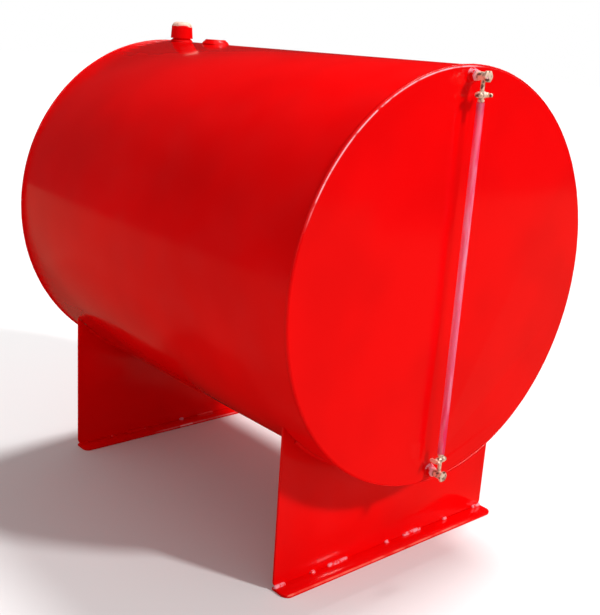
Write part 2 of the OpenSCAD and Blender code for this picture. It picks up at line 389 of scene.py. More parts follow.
@dataclass(frozen=True)
class GlossEnamel:
    """Alkyd enamel sprayed over rolled steel: a deep, even red with sharp, wavy reflections.

    The coat is a little thinner in wide, soft patches. Its orange peel is about 1.5 mm
    across on the real thing and is drawn at 5 mm, so that it shows.
    """

    name: str = "gloss_red_enamel"
    coat: str = "#f10204"
    thin: str = "#e60204"
    roughness: float = 0.12
    specular: float = 0.22
    thinning: Patches = Patches(240 * MM, 0.35, 0.7)
    haze: Patches = Patches(80 * MM, 0.3, 0.75, 4.0, 0.096, 0.18)
    wave: Relief = Relief(190 * MM, 0.5 * MM, 0.0)
    peel: Relief = Relief(5 * MM, 0.012 * MM)

    def make(self) -> Material:
        """Builds the material.

        Returns:
            The material.
        """
        material, tree, shader, place = start_material(self.name)
        self.dress(tree, shader, place)
        return material

    def dress(self, tree: Tree, shader: Node, place: Socket) -> Socket:
        """Sets the enamel's colour, gloss and unevenness.

        Args:
            tree: The node tree.
            shader: Its shader.
            place: The object's coordinates.

        Returns:
            The enamel's colour.
        """
        coats = {6: from_hex(self.coat), 7: from_hex(self.thin)}
        colour = add_node(tree, "Mix", {0: self.thinning.add(tree, place)} | coats, out=2)
        feed(tree, shader, {
            "Base Color": colour,
            "Roughness": self.haze.add(tree, place),
            "Specular IOR Level": self.specular,
            "Normal": self.peel.add(tree, place, self.wave.add(tree, place)),
        })
        return colour


@dataclass(frozen=True)
class PaleArea:
    """One area where the enamel turns pale: rubbed thin on the weld beads, and a painted
    highlight on the front rim, the bar edges, the stitches and the boss tops.

    Each fade runs along X, Y, Z or R, the distance from the tank's axis: first the place where
    it stays red, then where it is full. The share says how pale it gets, and patchy gives the
    noise levels from which it starts and at which it is full.
    """

    fades: tuple[tuple[str, float, float], ...] = ()
    share: float = 1.0
    patchy: tuple[float, float] = (0.8, 0.9)

    def add(self, tree: Tree, noise: Socket, ways: dict[str, Socket]) -> Socket:
        """Adds the area to a material.

        Args:
            tree: The node tree.
            noise: What makes the rubbing patchy.
            ways: The place along X, Y, Z and R.

        Returns:
            How pale the enamel turns, from 0 to 1.
        """
        ends = {1: self.patchy[0], 2: self.patchy[1], 4: self.share}
        bare = add_node(tree, "MapRange", {0: noise} | ends)
        for way, none_at, full_at in self.fades:
            fade = {0: ways[way], 1: none_at, 2: full_at}
            shown = {0: bare, 1: add_node(tree, "MapRange", fade)}
            bare = add_node(tree, "Math", shown, operation="MULTIPLY")
        return bare


@dataclass(frozen=True)
class PaleMarkedEnamel(GlossEnamel):
    """The same enamel with pale marks: rubbed to pale primer on the weld beads, and painted
    highlights where they stand for the sun's glints.

    Its orange peel is drawn at 3 mm, finer than on the plates, to suit the small beads.
    """

    name: str = "red_enamel_over_weld"
    bare: str = "#ffc4c8"
    wave: Relief = Relief(190 * MM, 0.0, 0.0)
    peel: Relief = Relief(3 * MM, 0.012 * MM)
    pale_mark_patch: float = 22 * MM
    pale_mark_detail: float = 3.0
    areas: tuple[PaleArea, ...] = (PaleArea(),)
    worn_roughness: float = 0.45

    def make(self) -> Material:
        """Builds the material.

        Returns:
            The material.
        """
        material, tree, shader, place = start_material(self.name)
        painted = self.dress(tree, shader, place)
        split = add_node(tree, "SeparateXYZ", {"Vector": place}).node
        ways = {axis: split.outputs[axis] for axis in "XYZ"}
        from_axis = add_node(
            tree, "Mapping",
            {"Vector": place, "Location": (0, 0, -AXIS_HEIGHT), "Scale": (1, 0, 1)},
        )
        ways["R"] = add_node(
            tree, "VectorMath", {0: from_axis}, out="Value", operation="LENGTH"
        )
        look = {"Vector": place, "Scale": 1 / self.pale_mark_patch, "Detail": self.pale_mark_detail}
        noise = add_node(tree, "TexNoise", look)
        # How pale each place turns: worn paint on the welds, and painted highlights in the
        # areas on the rim, bars, stitches and bosses.
        pale_mix: float | Socket = 0.0
        for area in self.areas:
            both = {0: pale_mix, 1: area.add(tree, noise, ways)}
            pale_mix = add_node(tree, "Math", both, operation="MAXIMUM")
        colours = {0: pale_mix, 6: painted, 7: from_hex(self.bare)}
        rough = {0: pale_mix, 3: self.roughness, 4: self.worn_roughness}
        feed(tree, shader, {
            "Base Color": add_node(tree, "Mix", colours, out=2),
            "Roughness": add_node(tree, "MapRange", rough),
        })
        return material


@dataclass(frozen=True)
class CapEnamel(GlossEnamel):
    """Enamel on a malleable iron pipe cap, worn off its crown by hands and wrenches.

    Enamel on a malleable iron pipe cap, rubbed off its crown by hands and wrenches.
    """

    name: str = "red_enamel_on_iron_cap"
    bare: str = "#f6ccb8"
    dark: str = "#b08a76"
    wave: Relief = Relief(190 * MM, 0.0, 0.0)
    edge: float = 1.031
    edge_blur: float = 0.4 * MM
    chips: Patches = Patches(16 * MM, 0.3, 0.7, 3.0, -2.4 * MM, 2.4 * MM)
    stains: Patches = Patches(8 * MM, 0.5, 0.75)
    bare_roughness: float = 0.5

    def make(self) -> Material:
        """Builds the material.

        Returns:
            The material.
        """
        material, tree, shader, place = start_material(self.name)
        painted = self.dress(tree, shader, place)
        height = add_node(tree, "SeparateXYZ", {"Vector": place}, out="Z")
        ragged = {0: height, 1: self.chips.add(tree, place)}
        pale_mix = add_node(tree, "MapRange", {
            0: add_node(tree, "Math", ragged, operation="ADD"),
            1: self.edge - self.edge_blur, 2: self.edge + self.edge_blur,
        })
        metals = {6: from_hex(self.bare), 7: from_hex(self.dark)}
        metal = add_node(tree, "Mix", {0: self.stains.add(tree, place)} | metals, out=2)
        rough = {0: pale_mix, 3: self.roughness, 4: self.bare_roughness}
        feed(tree, shader, {
            "Base Color": add_node(tree, "Mix", {0: pale_mix, 6: painted, 7: metal}, out=2),
            "Roughness": add_node(tree, "MapRange", rough),
        })
        return material


@dataclass(frozen=True)
class GaugeBrass:
    """Turned and cast brass, dull and pale, with darker brown patches at random.

    Pink overspray from the tank lies on it, most of it close to the end plate. The grain
    of the cast skin is about 0.4 mm and is drawn at 1.2 mm, so that it shows.
    """

    name: str = "dull_cast_brass"
    metal: str = "#ffdcc2"
    dark_brown: str = "#5c3626"
    overspray: str = "#ffb0b8"
    spray_patch: float = 6 * MM
    spray_detail: float = 3.0
    sprayed_from: float = 0.60
    sprayed_to: float = 0.72
    near_plate: tuple[float, float] = (-0.495, -0.480)
    plate_share: float = 0.55
    dark_patches: Patches = Patches(8 * MM, 0.46, 0.68, 4.0)
    cast_skin: Relief = Relief(1.2 * MM, 0.03 * MM, 2.0)
    roughness: float = 0.38
    spray_roughness: float = 0.55
    bare_metal: float = 0.35

    def make(self) -> Material:
        """Builds the material.

        Returns:
            The material.
        """
        material, tree, shader, place = start_material(self.name)
        look = {"Vector": place, "Scale": 1 / self.spray_patch, "Detail": self.spray_detail}
        close = add_node(tree, "MapRange", {
            0: add_node(tree, "SeparateXYZ", {"Vector": place}, out="Y"),
            1: self.near_plate[0], 2: self.near_plate[1], 4: self.plate_share,
        })
        spray = {0: add_node(tree, "TexNoise", look), 1: close}
        sprayed = add_node(tree, "MapRange", {
            0: add_node(tree, "Math", spray, operation="ADD"),
            1: self.sprayed_from, 2: self.sprayed_to,
        })
        metals = {6: from_hex(self.metal), 7: from_hex(self.dark_brown)}
        metal = add_node(tree, "Mix", {0: self.dark_patches.add(tree, place)} | metals, out=2)
        colours = {0: sprayed, 6: metal, 7: from_hex(self.overspray)}
        bare = {0: sprayed, 3: self.bare_metal, 4: 0.0}
        rough = {0: sprayed, 3: self.roughness, 4: self.spray_roughness}
        feed(tree, shader, {
            "Base Color": add_node(tree, "Mix", colours, out=2),
            "Metallic": add_node(tree, "MapRange", bare),
            "Roughness": add_node(tree, "MapRange", rough),
            "Normal": self.cast_skin.add(tree, place),
        })
        return material


@dataclass(frozen=True)
class ClearHose:
    """Extruded PVC hose stained pink by dyed fuel: the plate only just shows through it.

    Most light passes it, if spread, so that its shadow is faint. It is paler along its
    middle and streaked lengthwise.
    """

    name: str = "clear_pvc_hose"
    body: str = "#f8306a"
    cloud: str = "#ff9cb4"
    wall_opacity: float = 0.7
    shadow_opacity: float = 0.1
    spread: float = 9 * MM
    spread_share: float = 0.9
    spread_colour: tuple[float, float, float] = (1.0, 0.35, 0.45)
    refraction: float = 1.53
    roughness: float = 0.3
    cloudy_roughness: float = 0.45
    drawn_out: float = 0.12
    streaks: Patches = Patches(9 * MM, 0.4, 0.65, 3.0, most=0.55)
    skin: Relief = Relief(14 * MM, 0.08 * MM)
    middle: float = AXIS_HEIGHT
    pale_from: float = 320 * MM
    pale_to: float = 100 * MM
    pale_share: float = 0.5

    def make(self) -> Material:
        """Builds the material.

        Returns:
            The material.
        """
        material, tree, shader, place = start_material(self.name)
        along = add_node(tree, "Mapping", {"Vector": place, "Scale": (1, 1, self.drawn_out)})
        height = add_node(tree, "SeparateXYZ", {"Vector": place}, out="Z")
        above = add_node(tree, "Math", {0: height, 1: self.middle}, operation="SUBTRACT")
        away = add_node(tree, "Math", {0: above}, operation="ABSOLUTE")
        ends = {1: self.pale_from, 2: self.pale_to, 4: self.pale_share}
        pale = add_node(tree, "MapRange", {0: away} | ends)
        streaks = self.streaks.add(tree, along)
        colours = {
            0: add_node(tree, "Math", {0: pale, 1: streaks}, operation="ADD"),
            6: from_hex(self.body), 7: from_hex(self.cloud),
        }
        opacity = {
            0: add_node(tree, "LightPath", out="Is Shadow Ray"),
            3: self.wall_opacity, 4: self.shadow_opacity,
        }
        rough = {0: streaks, 2: self.streaks.most, 3: self.roughness, 4: self.cloudy_roughness}
        feed(tree, shader, {
            "Base Color": add_node(tree, "Mix", colours, out=2),
            "Alpha": add_node(tree, "MapRange", opacity),
            "Subsurface Weight": self.spread_share,
            "Subsurface Radius": self.spread_colour,
            "Subsurface Scale": self.spread,
            "IOR": self.refraction,
            "Roughness": add_node(tree, "MapRange", rough),
            "Normal": self.skin.add(tree, along),
        })
        return material


@dataclass(frozen=True)
class Finishes:
    """Every finish on the tank, made once."""

    enamel: Material
    weld: Material
    front_plate: Material
    front_stitches: Material
    rear_stitches: Material
    front_bar: Material
    rear_bar: Material
    upper_boss: Material
    lower_boss: Material
    cap: Material
    brass: Material
    hose: Material

    @classmethod
    def make(cls) -> "Finishes":
        """Builds all the materials.

        Returns:
            The finishes.
        """
        # The pale line round the front plate's upper left rim is partly worn paint and partly a
        # painted highlight: the sun's glint on the rounded rim.
        rim = (("R", 0.3962, 0.3978), ("Z", 0.72, 0.80), ("X", 0.03, -0.02))
        # A painted highlight on the rear stitches' middle tack: the sun's glint on the bead.
        middle = (("X", -20 * MM, -10 * MM), ("X", 20 * MM, 10 * MM))
        # Painted highlights along the rear bar's upper front edge: a thin line, and one wider
        # patch.
        bar_line = (("X", -0.12, -0.08), ("X", 0.17, 0.14))
        bar_patch = (("X", -0.03, -0.025), ("X", 0.015, 0.01))
        return cls(
            enamel=GlossEnamel().make(),
            weld=PaleMarkedEnamel().make(),
            front_plate=PaleMarkedEnamel(
                name="red_enamel_rubbed_and_painted_glint_at_the_rim", bare="#ffb2bc",
                areas=(PaleArea(rim, patchy=(0.3, 0.5)),),
                wave=GlossEnamel.wave, peel=GlossEnamel.peel,
            ).make(),
            # The pale crests of the front stitches are painted highlights: the sun's glints on
            # the beads.
            front_stitches=PaleMarkedEnamel(
                name="red_enamel_with_painted_glints_on_front_stitches", bare="#f08e9a", pale_mark_patch=8 * MM,
                areas=(PaleArea(patchy=(0.34, 0.6)),),
            ).make(),
            # The pale middle tack of the rear stitches is a painted highlight.
            rear_stitches=PaleMarkedEnamel(
                name="red_enamel_with_painted_glint_on_rear_stitches", bare="#e07888", pale_mark_patch=8 * MM,
                areas=(PaleArea(middle, patchy=(0.2, 0.5)),),
            ).make(),
            # A painted highlight along the front bar's upper front edge, on all but its right
            # end.
            front_bar=cls.bar_edge(
                "front_foot", "#ff7a68", PaleArea((("X", 0.24, 0.18),), 0.8, (0.3, 0.6))
            ),
            rear_bar=cls.bar_edge(
                "rear_foot", "#ffc4c8",
                PaleArea(bar_line, 0.25, (0.2, 0.5)), PaleArea(bar_patch, 1.0, (0.1, 0.4)),
            ),
            upper_boss=cls.boss_top("upper_boss"),
            lower_boss=cls.boss_top("lower_boss"),
            cap=CapEnamel().make(),
            brass=GaugeBrass().make(),
            hose=ClearHose().make(),
        )

    @staticmethod
    def boss_top(node: str) -> Material:
        """Builds the enamel of a boss and its bead, with painted highlights on their upper
        side.

        Args:
            node: The boss's CAD node.

        Returns:
            The material.
        """
        low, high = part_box(node)
        middle = (low.z + high.z) / 2
        # The pale patches on the upper side are painted highlights: the sun's glints on the
        # boss and its bead.
        top = PaleArea((("Z", middle + 3 * MM, middle + 8 * MM),), patchy=(0.4, 0.55))
        return PaleMarkedEnamel(
            name=f"red_enamel_rubbed_on_{node}", bare="#ff9cae", pale_mark_patch=7 * MM,
            areas=(top,),
        ).make()

    @staticmethod
    def bar_edge(node: str, bare: str, *stretches: PaleArea) -> Material:
        """Builds the enamel of a leg's bar, with painted highlights along its upper front edge.

        Args:
            node: The bar's CAD node.
            bare: The pale colour of the painted highlights.
            stretches: The lengths of the edge that carry the painted highlights.

        Returns:
            The material.
        """
        low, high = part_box(node)
        edge = (
            ("Y", low.y + 4 * MM, low.y + 3 * MM),
            ("Z", high.z - 2.5 * MM, high.z - 1.5 * MM),
        )
        return PaleMarkedEnamel(
            name=f"red_enamel_rubbed_on_{node}", pale_mark_patch=45 * MM, bare=bare,
            areas=tuple(replace(part, fades=part.fades + edge) for part in stretches),
        ).make()


def dress_piece(piece: Piece, finish: Material, slot: Slot, body: Body, *nodes: str) -> None:
    """Gives a piece its finish and body, and hides the CAD nodes that it stands for.

    Args:
        piece: The finished piece.
        finish: Its material.
        slot: The record's slot. It is not used.
        body: The body that it rides on.
        nodes: The CAD nodes that it replaces.
    """
    piece.data.materials.clear()
    piece.data.materials.append(finish)
    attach(piece, body.value)
    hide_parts(*nodes)
    log.info("%s: %d faces, %s", piece.name, len(piece.data.polygons), finish.name)


# ---- Weld beads ----


@dataclass
class WeldBead:
    """A MIG bead, drawn as a section carried along its seam and raised in uneven ripples.

    The ripples of the real bead are about 1.5 mm apart and are drawn at 2.6 mm or more,
    so that they show. Each is one of the heights times the ripple height. A section keeps
    the sunk share of its size in the steel, and is flattened by a share of its leg. A seam
    longer than long_seam is spun in part and doubled.
    """

    width: float = 7 * MM
    proud: float = 1.6 * MM
    ripple: float = 3.6 * MM
    ripple_height: float = 0.45 * MM
    wander: float = 0.5 * MM
    wander_ripples: float = 5.0
    heights: tuple[float, ...] = (0.45, 0.75, 1.1)
    sunk_share: float = 0.35
    flattening: float = 0.2
    long_seam: float = 500 * MM
    doublings: int = 4
    seed: int = 7

    def oval_section(self, name: str, place: Vector) -> Piece:
        """Makes an oval section, half sunk in the steel, in a plane across X.

        Args:
            name: The piece's name.
            place: The middle of the section, on the steel's surface.

        Returns:
            The section, as a closed loop of edges.
        """
        section = primitive(
            name, "circle", vertices=10, radius=self.width / 2, location=place,
            rotation=(0, math.pi / 2, 0),
        )
        with editing(section, start="SELECT"):
            bpy.ops.transform.resize(
                value=(1, 1, 2 * self.proud / self.width), center_override=place
            )
        return section

    def corner_section(
        self, name: str, corner: Vector, leg: float, sunk: Callable[[Vector, Vector], bool],
        out: Vector,
    ) -> Piece:
        """Makes the section of a slightly bulging fillet, in a plane across X.

        Args:
            name: The piece's name.
            corner: Where the two steel faces meet.
            leg: The fillet's leg length.
            sunk: Says whether a vertex lies in the steel, by its place and normal.
            out: The way out of the corner, halfway between the two faces.

        Returns:
            The section, as a closed loop of edges.
        """
        section = primitive(
            name, "circle", vertices=8, radius=leg, location=corner,
            rotation=(0, math.pi / 2, 0),
        )
        with editing(section):
            pick(section, sunk)
            bpy.ops.transform.resize(value=[self.sunk_share] * 3, center_override=corner)
            pick(section, lambda place, _: (place - corner).dot(out) > leg - TOUCH)
            bpy.ops.transform.translate(value=-self.flattening * leg * out)
        return section

    def collar(
        self, name: str, centre: Vector, axis: Vector, radius: float, leg: float
    ) -> Piece:
        """Lays a fillet round a pipe that stands up, or out of the front end plate.

        Args:
            name: The piece's name.
            centre: Where the pipe's axis meets the steel.
            axis: That axis, Z or Y.
            radius: The pipe's radius.
            leg: The fillet's leg length.

        Returns:
            The bead.
        """
        corner = centre + radius * Vector((0, -axis.z, axis.y))
        bead = self.corner_section(
            name, corner, leg,
            lambda place, _: place.y > corner.y + TOUCH or place.z < corner.z - TOUCH,
            Vector((0, -1, 1)).normalized(),
        )
        self.spin(bead, centre, axis, radius)
        return bead

    def spin(
        self, section: Piece, centre: Vector, axis: Vector, radius: float,
        angle: float = FULL_TURN,
    ) -> None:
        """Carries a section round an axis, then ripples it.

        Args:
            section: The closed loop of edges.
            centre: A point on the axis.
            axis: The axis.
            radius: The bead's distance from it.
            angle: How far round it goes.
        """
        doublings = self.doublings if abs(angle) * radius > self.long_seam else 0
        parts = 2**doublings
        steps = RINGS * parts * round(abs(angle) * radius / self.ripple / parts)
        with editing(section, start="SELECT"):
            bpy.ops.mesh.spin(
                steps=steps // parts, angle=angle / parts, center=centre, axis=axis
            )
        for doubling in range(doublings):
            turn = Matrix.Rotation(angle * 2**doubling / parts, 4, axis)
            place = Matrix.Translation(centre) @ turn @ Matrix.Translation(-centre)
            twin = same_again(section, f"{section.name}_twin", place)
            activate(section)
            twin.select_set(True)
            bpy.ops.object.join()
        close_and_face_out(section)
        start = section.data.vertices[0].co - centre
        start -= axis * start.dot(axis)

        def ring(place: Vector) -> int:
            """Counts the steps from the section's start to a place.

            Args:
                place: A vertex's place.

            Returns:
                The number of its ring.
            """
            arm = place - centre
            arm -= axis * arm.dot(axis)
            turned = math.atan2(axis.dot(start.cross(arm)), start.dot(arm))
            return round((turned % FULL_TURN) / (abs(angle) / steps)) % steps

        self.raise_ripples(section, ring, steps)

    def raise_ripples(self, bead: Piece, ring: Callable[[Vector], int], steps: int) -> None:
        """Raises one ring of each ripple by one of the heights, and lets the edges wander.

        Args:
            bead: The bead.
            ring: Gives the number of a place's ring.
            steps: How many rings there are.
        """
        draw = random.Random(self.seed)
        level = [draw.choice(self.heights) for _ in range(steps // RINGS + 1)]
        with editing(bead):
            for height in self.heights:
                pick(
                    bead,
                    lambda place, _: ring(place) % RINGS == 0
                    and level[ring(place) // RINGS] == height,
                )
                bpy.ops.transform.shrink_fatten(value=height * self.ripple_height)
        self.let_wander(bead)
        smooth(bead, BEAD_SMOOTH_ANGLE)

    def let_wander(self, bead: Piece) -> None:
        """Swells and thins a bead along its length by a slow, fixed noise.

        Args:
            bead: The bead.
        """
        cloud = bpy.data.textures.new(f"{bead.name}_wander", "CLOUDS")
        cloud.noise_scale = self.wander_ripples * self.ripple
        finish_with(
            bead, "DISPLACE", texture=cloud, texture_coords="LOCAL", strength=self.wander,
            mid_level=0.5,
        )
        bpy.data.textures.remove(cloud)


# ---- The tank ----


@dataclass
class TankBody:
    """The rolled shell, its two end plates and the beads that close it."""

    finishes: Finishes
    radius: float = 400 * MM
    axis_height: float = AXIS_HEIGHT
    sheet_edge: float = 0.7 * MM
    seam_angle: float = math.radians(20)
    seam_setback: float = 7.5 * MM

    def build(self) -> None:
        """Builds every piece of the tank's body."""
        for node, finish in (
            ("shell", self.finishes.enamel), ("front_end", self.finishes.front_plate),
            ("rear_end", self.finishes.enamel),
        ):
            piece = copy_of_node(node, self.sheet_edge)
            dress_piece(piece, finish, Slot.TANK, Body.TANK, node)
        front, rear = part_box("front_end"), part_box("rear_end")
        self.ring_seam("front_seam_weld", front[1].y, seed=11)
        self.ring_seam("rear_seam_weld", rear[0].y, seed=12)
        self.lengthwise_seam(front[0].y, rear[1].y)

    def ring_seam(self, node: str, y: float, seed: int) -> None:
        """Lays the bead round the tank where the shell meets an end plate.

        Args:
            node: The CAD node that it replaces.
            y: The seam's place along the tank.
            seed: What its ripples are drawn from.
        """
        bead = WeldBead(seed=seed)
        centre = Vector((0, y, self.axis_height))
        section = bead.oval_section(f"{node}_bead", centre + self.radius * UP)
        bead.spin(section, centre, ALONG, self.radius)
        dress_piece(section, self.finishes.weld, Slot.WELD, Body.TANK, node)

    def lengthwise_seam(self, front_y: float, rear_y: float) -> None:
        """Lays the bead along the shell, between the two round ones.

        Args:
            front_y: The tank's front.
            rear_y: The tank's rear.
        """
        bead = WeldBead()
        out = Vector((math.cos(self.seam_angle), 0, math.sin(self.seam_angle)))
        place = out * self.radius + Vector((0, front_y + self.seam_setback, self.axis_height))
        length = rear_y - front_y - 2 * self.seam_setback
        ripples = round(length / bead.ripple)
        step = length / ripples / RINGS
        piece = primitive(
            "shell_seam_weld_bead", "circle", vertices=10, radius=bead.width / 2,
            location=place, rotation=(math.pi / 2, 0, 0),
        )
        with editing(piece, start="SELECT"):
            bpy.ops.transform.resize(
                value=(2 * bead.proud / bead.width, 1, 1), center_override=place
            )
            bpy.ops.transform.rotate(
                value=self.seam_angle, orient_axis="Y", center_override=place
            )
            for _ in range(RINGS):
                bpy.ops.mesh.extrude_region_move(
                    TRANSFORM_OT_translate={"value": (0, step, 0)}
                )
        finish_with(
            piece, "ARRAY", count=ripples, use_relative_offset=False,
            use_constant_offset=True, constant_offset_displace=(0, RINGS * step, 0),
            use_merge_vertices=True, merge_threshold=step / 10,
        )
        close_and_face_out(piece, open_ends=True)
        bead.raise_ripples(piece, lambda at: round((at.y - place.y) / step), RINGS * ripples)
        dress_piece(piece, self.finishes.weld, Slot.WELD, Body.TANK, "shell_seam_weld")


@dataclass
class SaddleLegs:
    """The two legs: each a plate on a flat bar, stitched to it and welded to the shell.

    Each step of a stitch's tips narrows it and reaches on by a share of its radius. The
    stitches and tacks lie at shares of the plate's half width.
    """

    finishes: Finishes
    radius: float = 400 * MM
    axis_height: float = AXIS_HEIGHT
    half_width: float = 307 * MM
    plate_edge: float = 0.8 * MM
    bar_edge: float = 1.2 * MM
    fillet_leg: float = 5 * MM
    fillet_setback: float = 2 * MM
    stitch_radius: float = 5 * MM
    stitch_long: float = 55 * MM
    end_stitch: float = 28 * MM
    tack: float = 13 * MM
    stitch_ripple: float = 3.5 * MM
    stitch_ripple_height: float = 0.4 * MM
    stitch_sunk_share: float = 0.4
    stitch_tips: tuple[tuple[float, float], ...] = ((0.8, 0.3), (0.45, 0.2))
    long_shares: tuple[float, ...] = (-0.46, 0.25)
    tack_shares: tuple[float, ...] = (-0.68, 0.0, 0.6)

    def build(self) -> None:
        """Builds both legs with their bars and welds."""
        for leg, bar, stitch_finish in (
            ("front_leg", self.finishes.front_bar, self.finishes.front_stitches),
            ("rear_leg", self.finishes.rear_bar, self.finishes.rear_stitches),
        ):
            piece = copy_of_node(leg, self.plate_edge)
            dress_piece(piece, self.finishes.enamel, Slot.LEG, Body.TANK, leg)
            foot = leg.replace("leg", "foot")
            piece = copy_of_node(foot, self.bar_edge)
            dress_piece(piece, bar, Slot.LEG, Body.TANK, foot)
            low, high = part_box(leg)
            self.saddle_fillet(f"{leg}_front_weld", low.y, side=-1, seed=21)
            self.saddle_fillet(f"{leg}_back_weld", high.y, side=1, seed=22)
            self.stitches(f"{foot}_welds", low.y, low.z, stitch_finish)

    def saddle_fillet(self, node: str, y: float, side: int, seed: int) -> None:
        """Lays the fillet between the shell and one face of a leg.

        Args:
            node: The CAD node that it replaces.
            y: The face's place along the tank.
            side: -1 for the face towards the gauge, 1 for the one behind.
            seed: What its ripples are drawn from.
        """
        bead = WeldBead(ripple=4 * MM, ripple_height=0.4 * MM, seed=seed)
        centre = Vector((0, y, self.axis_height))
        corner = centre - self.radius * UP
        reach = math.asin((self.half_width - self.fillet_setback) / self.radius)
        section = bead.corner_section(
            f"{node}_bead", corner, self.fillet_leg,
            lambda place, _: (place.y - y) * side < -TOUCH or place.z > corner.z + TOUCH,
            Vector((0, side, -1)).normalized(),
        )
        with editing(section, start="SELECT"):
            bpy.ops.transform.rotate(value=reach, orient_axis="Y", center_override=centre)
        if section.data.vertices[0].co.x > 0:
            reach = -reach
        bead.spin(section, centre, ALONG, self.radius, -2 * reach)
        close_and_face_out(section, open_ends=True)
        dress_piece(section, self.finishes.weld, Slot.WELD, Body.TANK, node)

    def one_stitch(self, name: str, length: float, corner: Vector) -> Piece:
        """Models one short weld in the corner between a plate and its bar.

        Args:
            name: The piece's name.
            length: Its length.
            corner: Its middle, in the corner.

        Returns:
            The weld, from a rounded bar of many rings.
        """
        bar = length - self.stitch_radius
        piece = primitive(
            name, "cylinder", vertices=12, radius=self.stitch_radius, depth=bar,
            location=corner, rotation=(0, math.pi / 2, 0),
        )
        half_ripple = self.stitch_ripple / 2
        with editing(piece, "FACE"):
            for end in (-1, 1):
                for shrink, reach in self.stitch_tips:
                    pick(piece, lambda _, normal: normal.x * end > FACING, "faces")
                    step = (end * reach * self.stitch_radius, 0, 0)
                    bpy.ops.mesh.extrude_region_move(TRANSFORM_OT_translate={"value": step})
                    bpy.ops.transform.resize(value=(1, shrink, shrink), center_override=corner)
            cuts = round(bar / half_ripple)
            for cut in range(1, cuts):
                x = corner.x - bar / 2 + cut * bar / cuts
                bpy.ops.mesh.select_all(action="SELECT")
                bpy.ops.mesh.bisect(plane_co=(x, corner.y, corner.z), plane_no=(1, 0, 0))
        with editing(piece):
            pick(
                piece,
                lambda place, _: abs(place.x - corner.x) < bar / 2
                and round((place.x - corner.x) / half_ripple) % 2 == 0,
            )
            bpy.ops.transform.shrink_fatten(value=self.stitch_ripple_height)
            pick(piece, lambda place, _: place.y > corner.y + TOUCH)
            bpy.ops.transform.resize(
                value=(1, self.stitch_sunk_share, 1), center_override=corner
            )
        smooth(piece, BEAD_SMOOTH_ANGLE)
        return piece

    def stitches(self, node: str, y: float, z: float, finish: Material) -> None:
        """Lays the seven short welds along one leg as one piece.

        Args:
            node: The CAD node that they replace.
            y: The place of the leg's front face.
            z: The top of its bar.
            finish: Their material.
        """
        end_x = self.half_width - self.end_stitch / 2
        plan = [(-end_x, self.end_stitch), (end_x, self.end_stitch)]
        plan += [(share * self.half_width, self.stitch_long) for share in self.long_shares]
        plan += [(share * self.half_width, self.tack) for share in self.tack_shares]
        corner = Vector((0, y, z))
        models = {
            length: self.one_stitch(f"{node}_{round(length / MM)}mm", length, corner)
            for length in (self.tack, self.end_stitch, self.stitch_long)
        }
        made = [
            same_again(models[length], f"{node}_{i}", Matrix.Translation((x, 0, 0)))
            for i, (x, length) in enumerate(plan)
        ]
        for model in models.values():
            bpy.data.objects.remove(model)
        activate(made[0])
        for piece in made:
            piece.select_set(True)
        bpy.ops.object.join()
        made[0].name = f"{node}_beads"
        dress_piece(made[0], finish, Slot.WELD, Body.TANK, node)


@dataclass
class CrownFittings:
    """The capped filler pipe and the plugged bung on the tank's crown."""

    finishes: Finishes
    crown: float = 995 * MM
    pipe_radius: float = 21.2 * MM
    socket_radius: float = 24 * MM
    filler_fillet: float = 6 * MM
    bung_fillet: float = 8 * MM
    casting_edge: float = 1.2 * MM
    turned_edge: float = 0.6 * MM

    def build(self) -> None:
        """Builds both fittings."""
        pieces = (
            ("filler_pipe", self.turned_edge, self.finishes.enamel, Slot.TANK),
            ("filler_cap", self.casting_edge, self.finishes.cap, Slot.CAP),
            ("bung_socket", self.casting_edge, self.finishes.enamel, Slot.TANK),
            ("bung_plug", self.turned_edge, self.finishes.enamel, Slot.TANK),
        )
        for node, edge, finish, slot in pieces:
            piece = copy_of_node(node, edge, segments=3)
            dress_piece(piece, finish, slot, Body.TANK, node)
        for node, pipe, radius, leg, seed in (
            ("filler_weld", "filler_pipe", self.pipe_radius, self.filler_fillet, 31),
            ("bung_weld", "bung_socket", self.socket_radius, self.bung_fillet, 32),
        ):
            low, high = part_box(pipe)
            middle = (low + high) / 2
            bead = WeldBead(ripple_height=0.5 * MM, wander=0.7 * MM, seed=seed).collar(
                f"{node}_bead", Vector((middle.x, middle.y, self.crown)), UP, radius, leg
            )
            dress_piece(bead, self.finishes.weld, Slot.WELD, Body.TANK, node)


